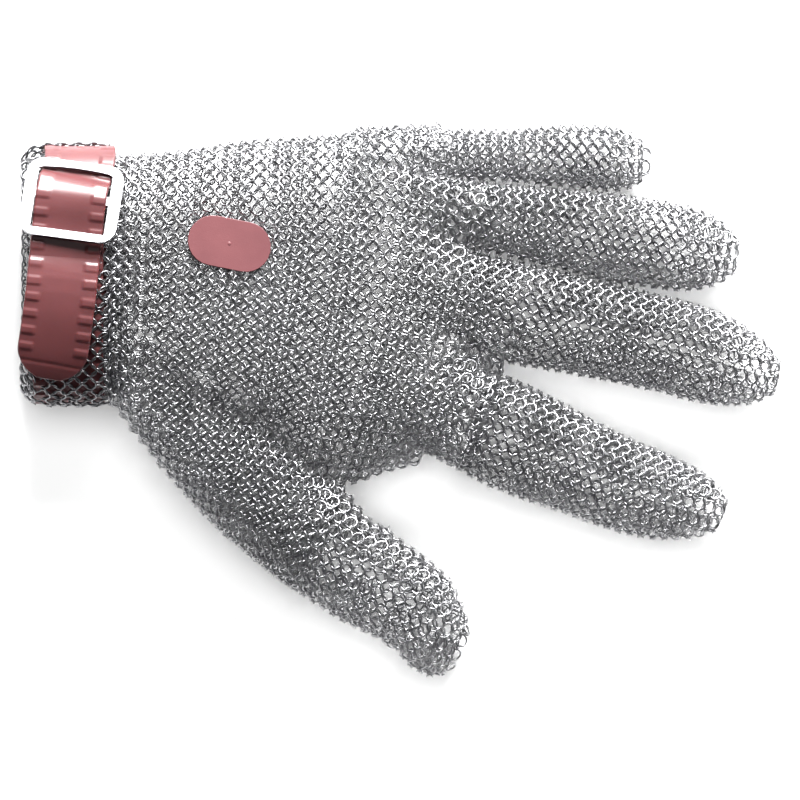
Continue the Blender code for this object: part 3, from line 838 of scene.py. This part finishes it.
def cuff_profile():
    """Line from the hand's crease back along the outer layer, round the rolled rim, and forward inside."""
    front, rear = cuff_box[1][0], tunnel_box[0][0]
    bend = (OUTER_LEVEL - INNER_LEVEL) / 2
    rim = rear + bend + RIM_INSET
    line = [(front + 1.6, INNER_LEVEL - 1.6), (front - 0.6, INNER_LEVEL - 0.2), (front - 2.4, 1.3)]
    line += [(x, OUTER_LEVEL) for x in np.linspace(front - 5.0, rim + 3.0, 8)]
    line += [
        (rim - bend * math.sin(a), (OUTER_LEVEL + INNER_LEVEL) / 2 + bend * math.cos(a))
        for a in np.linspace(0.0, math.pi, 9)]
    line += [(x, INNER_LEVEL) for x in np.linspace(rim + 3.0, front - 2.0, 8)]
    line = np.array(line)
    line[:, 1] -= RIM_TAPER * np.clip((rear + RIM_TAPER_LENGTH - line[:, 0]) / RIM_TAPER_LENGTH, 0, 1) ** 2
    return line


def build_cuff(look):
    line = cuff_profile()
    run = np.concatenate([[0.0], np.cumsum(np.linalg.norm(np.diff(line, axis=0), axis=1))])
    rows = np.arange(0.3, run[-1], CUFF_STEP)
    turn_over = run[11] + (run[19] - run[11]) * 0.6
    centre, along, normal, tilt, inner = [], [], [], [], []
    for j, at in enumerate(rows):
        x, offset = (np.interp(at, run, line[:, k]) for k in range(2))
        x2, offset2 = (np.interp(min(at + 0.4, run[-1]), run, line[:, k]) for k in range(2))
        x1, offset1 = (np.interp(max(at - 0.4, 0.0), run, line[:, k]) for k in range(2))
        shares = (np.arange(CUFF_COLUMNS) + 0.5 * (j % 2)) / CUFF_COLUMNS
        degrees = even_degrees(max(offset, 0.0), shares)
        if at < turn_over:
            start, stop = TUNNEL_ARC
            keep = ((degrees > start) & (degrees < stop)) | (degrees < stop - 360)
            if at < run[1] + 0.3:
                keep |= True
            degrees = degrees[keep]
        here = cuff_points(degrees, offset, x)
        pull = STRAP_PULL * np.exp(-((here[:, 1] - STRAP_PULL_Y) / STRAP_PULL_REACH) ** 2)
        here[:, 0] += pull * (here[:, 2] > cuff_middle[2]) * np.clip((line[0, 0] - x) / 30.0, 0, 1)
        side = cuff_points(degrees + 1.0, offset, x) - cuff_points(degrees - 1.0, offset, x)
        side /= np.linalg.norm(side, axis=1, keepdims=True)
        onward = cuff_points(degrees, offset2, x2) - cuff_points(degrees, offset1, x1)
        onward /= np.linalg.norm(onward, axis=1, keepdims=True)
        out = np.cross(side, onward)
        out /= np.linalg.norm(out, axis=1, keepdims=True)
        centre.append(here)
        along.append(side)
        normal.append(out)
        tilt.append(np.full(len(here), CUFF_TILT * (1 if j % 2 else -1)))
        inner.append(np.full(len(here), at > turn_over))
    grown = (centre, along, normal, tilt, inner)
    centre, along, normal, tilt, inner = (np.concatenate(part) for part in grown)
    tilt = tilt + rng.normal(0, TILT_JITTER, len(tilt))
    for name, mine, node in (
        ("cuff_outer_mail", ~inner, "cuff_tunnel_mesh"), ("cuff_inner_mail", inner, "cuff_inner_mesh")):
        made = ring_mesh(name, centre[mine], along[mine], normal[mine], tilt[mine], look, CUFF_RING)
        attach(made, "cuff")
        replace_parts(made, node)


# ---------------------------------------------------------------- strap, buckle and tag

def route_frames(route, step):
    """Centre, width direction and outward normal of the strap's underside, and the run along it."""
    table = np.array(route, float)
    rough = np.linspace(table[0, 0], table[-1, 0], 1200)
    soft = np.ones(31) / 31

    def read(k):
        values = np.interp(rough, table[:, 0], table[:, k])
        padded = np.concatenate([np.full(15, values[0]), values, np.full(15, values[-1])])
        return np.convolve(padded, soft, mode="valid")

    line = cuff_points(rough, read(1), read(2))
    run = np.concatenate([[0.0], np.cumsum(np.linalg.norm(np.diff(line, axis=0), axis=1))])
    at = np.linspace(0.0, run[-1], max(int(run[-1] / step), 2))
    centre = np.stack([np.interp(at, run, line[:, k]) for k in range(3)], axis=1)
    degrees = np.interp(at, run, rough)
    ahead = np.gradient(centre, axis=0)
    ahead /= np.linalg.norm(ahead, axis=1, keepdims=True)
    spread = cuff_points(degrees + 1, 0.0, 0.0) - cuff_points(degrees - 1, 0.0, 0.0)
    outward = np.stack([np.zeros(len(at)), spread[:, 2], -spread[:, 1]], axis=1)
    away = cuff_points(degrees, 5.0, 0.0) - cuff_points(degrees, 0.0, 0.0)
    outward *= np.sign((outward * away).sum(1))[:, None]
    across = np.cross(ahead, outward)
    across /= np.linalg.norm(across, axis=1, keepdims=True)
    return centre, across, np.cross(across, ahead), at


def rib_height(run, side):
    """Raised bars along both edges, and nothing in the middle."""
    edge = STRAP_WIDTH / 2 - np.abs(side)
    ends = np.clip((RIB_LENGTH - edge) / 0.6, 0, 1)
    phase = np.abs((run / RIB_PITCH) % 1.0 - 0.5) * RIB_PITCH
    bar = np.clip((RIB_WIDTH / 2 - phase) / 0.45 + 0.5, 0, 1)
    return RIB_HEIGHT * ends * bar * bar * (3 - 2 * bar)


def build_strap(name, route, look, body, round_end):
    centre, across, normal, run = route_frames(route, STRAP_GRID)
    columns = int(STRAP_WIDTH / STRAP_GRID)
    share = np.sin(np.linspace(-math.pi / 2, math.pi / 2, columns + 1) * 0.999)
    left = run[-1] - run
    half = np.full(len(run), STRAP_WIDTH / 2)
    if round_end:
        bow = np.clip(1 - left / TAIL_ROUND, 0, 1)
        half = half * np.sqrt(1 - (1 - TAIL_END_SHARE ** 2) * bow ** 2)
    side = share[None, :] * half[:, None]
    rim = half[:, None] - np.abs(side)
    if round_end:
        rim = np.minimum(rim, left[:, None])
    round_off = EDGE_ROUND - np.sqrt(np.maximum(EDGE_ROUND ** 2 - np.clip(EDGE_ROUND - rim, 0, None) ** 2, 0))
    ribs = rib_height(run[:, None], side)
    crease = 0.0
    if round_end:
        ribs = ribs * np.clip((left[:, None] - TAIL_ROUND + 1.5) / 1.0, 0, 1)
        crease = 0.18 * np.exp(-((left[:, None] - TAIL_CREASE) / 0.45) ** 2)
    top = STRAP_THICK - round_off + ribs - crease
    under = round_off * 0.6
    grid = []
    for height in (top, under):
        sideways = across[:, None, :] * side[..., None]
        grid.append(centre[:, None, :] + sideways + normal[:, None, :] * height[..., None])
    mesh = bmesh.new()
    verts = [[[mesh.verts.new(point * MM) for point in row] for row in layer] for layer in grid]
    rows, width = len(run), columns + 1
    for i in range(rows - 1):
        for j in range(width - 1):
            for layer in verts:
                mesh.faces.new((layer[i][j], layer[i + 1][j], layer[i + 1][j + 1], layer[i][j + 1]))
        for j in (0, width - 1):
            mesh.faces.new((verts[0][i][j], verts[0][i + 1][j], verts[1][i + 1][j], verts[1][i][j]))
    for i in (0, rows - 1):
        for j in range(width - 1):
            mesh.faces.new((verts[0][i][j], verts[0][i][j + 1], verts[1][i][j + 1], verts[1][i][j]))
    bmesh.ops.recalc_face_normals(mesh, faces=mesh.faces)
    data = bpy.data.meshes.new(name)
    mesh.to_mesh(data)
    mesh.free()
    data.shade_smooth()
    data.set_sharp_from_angle(angle=math.radians(70))
    data.materials.append(look)
    made = bpy.data.objects.new(name, data)
    bpy.context.scene.collection.objects.link(made)
    if round_end:
        bent = centre[int(TAIL_BEND / STRAP_GRID)]
        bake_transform(made, "cuff", body, start=list(centre[0] * MM), end=list(bent * MM))
    else:
        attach(made, body)
    return made


def raise_rim(mesh):
    """Sinks the face of a moulded tag inside a narrow rim and leaves a small gate mark in its middle."""
    top = [face for face in mesh.faces if face.normal.z > 0.9]
    area = sum(face.calc_area() for face in top)
    middle = sum((face.calc_center_median_weighted() * face.calc_area() for face in top), Vector()) / area
    normal = top[0].normal.copy()
    top = bmesh.ops.dissolve_faces(mesh, faces=top)["region"]
    bmesh.ops.inset_region(mesh, faces=top, thickness=RIM_WIDTH * MM, depth=-RIM_DEPTH * MM)
    turn = normal.to_track_quat("Z", "Y").to_matrix().to_4x4()
    shape = Matrix.Diagonal((GATE_RADIUS * MM, GATE_RADIUS * MM, GATE_HEIGHT * MM, 1.0))
    place = Matrix.Translation(middle - normal * RIM_DEPTH * MM) @ turn @ shape
    bmesh.ops.create_uvsphere(mesh, u_segments=16, v_segments=8, radius=1.0, matrix=place)


def softened(node, name, width, segments, look, change=None):
    """A copy of a hard CAD piece with its edges rounded."""
    source = frame["nodes"][node]
    mesh = bmesh.new()
    mesh.from_mesh(source.data)
    bmesh.ops.remove_doubles(mesh, verts=mesh.verts, dist=0.00002)
    bmesh.ops.dissolve_limit(mesh, angle_limit=math.radians(3), verts=mesh.verts, edges=mesh.edges)
    if change:
        change(mesh)
    data = bpy.data.meshes.new(name)
    mesh.to_mesh(data)
    mesh.free()
    data.materials.append(look)
    made = bpy.data.objects.new(name, data)
    bpy.context.scene.collection.objects.link(made)
    bevel = made.modifiers.new("round", "BEVEL")
    bevel.width = width * MM
    bevel.segments = segments
    bevel.limit_method = "ANGLE"
    bevel.angle_limit = math.radians(50)
    bpy.context.view_layer.update()
    shaped = bpy.data.meshes.new_from_object(made.evaluated_get(bpy.context.evaluated_depsgraph_get()))
    made.modifiers.clear()
    made.data = shaped
    shaped.shade_smooth()
    shaped.set_sharp_from_angle(angle=math.radians(35))
    for face in shaped.polygons:
        face.use_smooth = face.area < FLAT_AREA * MM * MM
    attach(made, source["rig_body"])
    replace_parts(made, node)
    return made


# ---------------------------------------------------------------- scene

def lights_and_floor():
    world = bpy.data.worlds.new("studio")
    bpy.context.scene.world = world
    world.use_nodes = True
    world.node_tree.nodes["Background"].inputs["Color"].default_value = (0.92, 0.95, 1.0, 1.0)
    world.node_tree.nodes["Background"].inputs["Strength"].default_value = 0.04
    backdrop = world.node_tree.nodes.new("ShaderNodeBackground")
    backdrop.inputs["Color"].default_value = (0.92, 0.93, 0.95, 1.0)
    chosen = world.node_tree.nodes.new("ShaderNodeMixShader")
    rays = world.node_tree.nodes.new("ShaderNodeLightPath")
    links = world.node_tree.links
    links.new(rays.outputs["Is Camera Ray"], chosen.inputs[0])
    links.new(world.node_tree.nodes["Background"].outputs[0], chosen.inputs[1])
    links.new(backdrop.outputs[0], chosen.inputs[2])
    links.new(chosen.outputs[0], world.node_tree.nodes["World Output"].inputs["Surface"])
    for name, place, size, power in LAMPS:
        data = bpy.data.lights.new(name, "AREA")
        data.size = size
        data.energy = power
        lamp = bpy.data.objects.new(name, data)
        lamp.location = place
        lamp.rotation_euler = (Vector((0, 0, 0)) - Vector(place)).to_track_quat("-Z", "Y").to_euler()
        bpy.context.scene.collection.objects.link(lamp)
    data = bpy.data.lights.new("floor_fill", "SUN")
    data.energy = FLOOR_FILL
    data.angle = math.radians(60.0)
    fill = bpy.data.objects.new("floor_fill", data)
    bpy.context.scene.collection.objects.link(fill)
    mesh = bpy.data.meshes.new("floor")
    reach = FLOOR_REACH
    corners = [(-reach, -reach, 0), (reach, -reach, 0), (reach, reach, 0), (-reach, reach, 0)]
    mesh.from_pydata(corners, [], [(0, 1, 2, 3)])
    floor = bpy.data.objects.new("floor", mesh)
    bpy.context.scene.collection.objects.link(floor)
    made, _, _, shader = shader_of("pale_floor")
    shader.inputs["Base Color"].default_value = (0.36, 0.36, 0.36, 1.0)
    shader.inputs["Roughness"].default_value = 0.9
    shader.inputs["Specular IOR Level"].default_value = 0.0
    mesh.materials.append(made)
    only = bpy.data.collections.new("floor_only")
    only.objects.link(floor)
    fill.light_linking.receiver_collection = only


def camera():
    data = bpy.data.cameras.new("camera")
    data.sensor_width = 36.0
    middle = (cad_low + cad_high) / 2
    data.lens = data.sensor_width * (CAMERA_HEIGHT - CAMERA_FOCUS) / VIEW_WIDTH
    made = bpy.data.objects.new("camera", data)
    made.location = (middle.x - 0.0005, middle.y + 0.00075, CAMERA_HEIGHT)
    bpy.context.scene.collection.objects.link(made)
    bpy.context.scene.camera = made


build_mail(steel_wire("steel_wire", (0.27, 0.53)))
# Painted shade: the cuff's rings use a darker copy of the same steel, standing in for the shade the cuff lies
# in.
build_cuff(steel_wire("steel_wire_cuff_painted_shade", (0.15, 0.33)))
strap_look = strap_plastic()
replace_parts(build_strap("strap_band_ribbed", STRAP_ROUTE, strap_look, "cuff", False), "strap_band")
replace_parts(build_strap("strap_tail_ribbed", TAIL_ROUTE, strap_look, "strap_tail", True), "strap_tail")
softened("slide_buckle", "slide_buckle_rounded", 0.5, 3, buckle_steel())
tag_look = tag_plastic()
softened("size_tag_front", "size_tag_rounded", 0.45, 4, tag_look, raise_rim)
frame["nodes"]["size_tag_back"].data.materials.clear()
frame["nodes"]["size_tag_back"].data.materials.append(tag_look)
lights_and_floor()
camera()
bpy.context.scene.view_settings.view_transform = "Standard"
